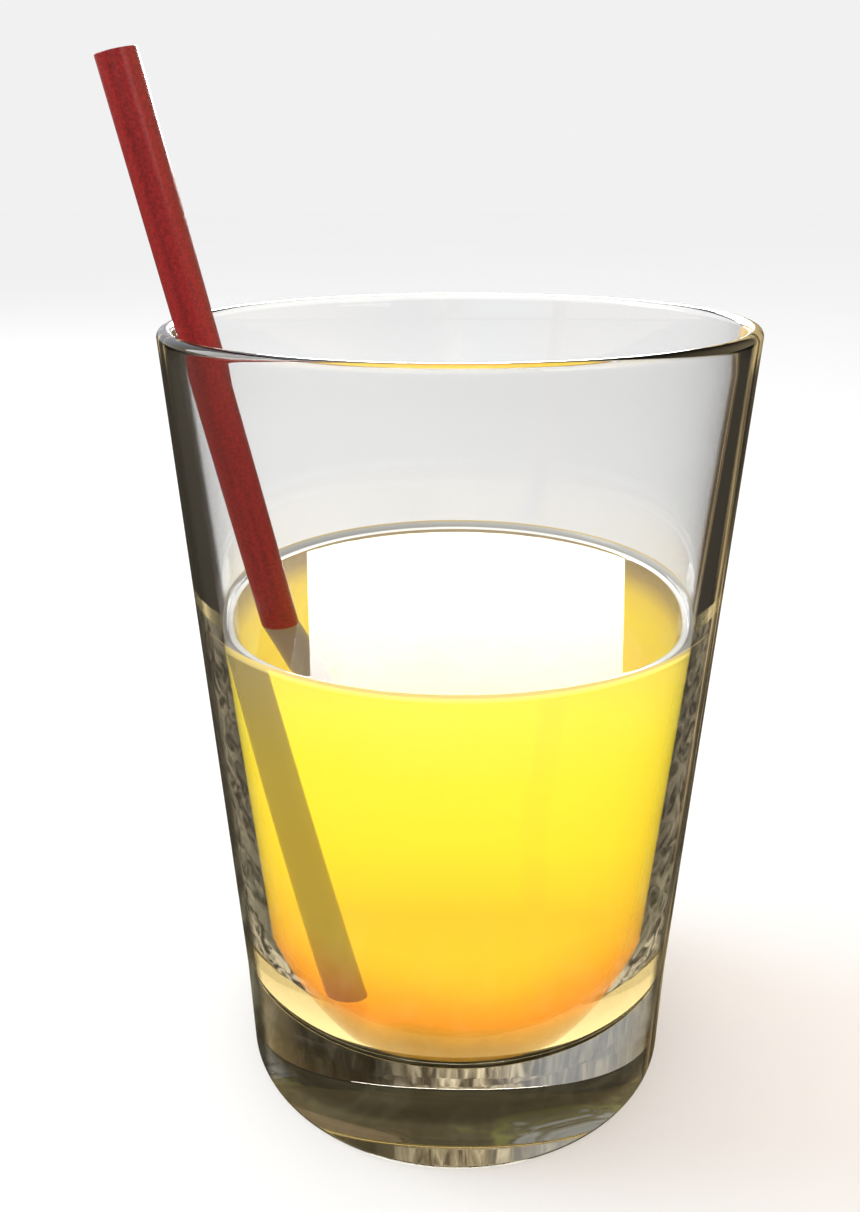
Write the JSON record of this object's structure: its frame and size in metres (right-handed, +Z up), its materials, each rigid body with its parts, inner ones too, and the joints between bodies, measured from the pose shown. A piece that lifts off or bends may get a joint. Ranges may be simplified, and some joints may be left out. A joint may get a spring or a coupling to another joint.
{
  "type": "glass of orange juice with a straw",
  "caption": "Clear tapered tumbler with a thick rounded base, part filled with orange juice, and a straight red drinking straw leaning in it.",
  "frame": {"origin": "centre of the tumbler's flat bottom, on its axis", "axes": "+Z up along the tumbler's axis, the straw leans towards -X, and -Y is the front"},
  "size_m": [0.0894, 0.0866, 0.1599],
  "materials": {
    "clear_glass": "clear, polished",
    "orange_juice": "wet, glossy, slightly see-through",
    "red_straw": "satin"
  },
  "bodies": {
    "root": {"glass": "clear_glass", "juice": "orange_juice", "straw": "red_straw"}
  },
  "joints": []
}
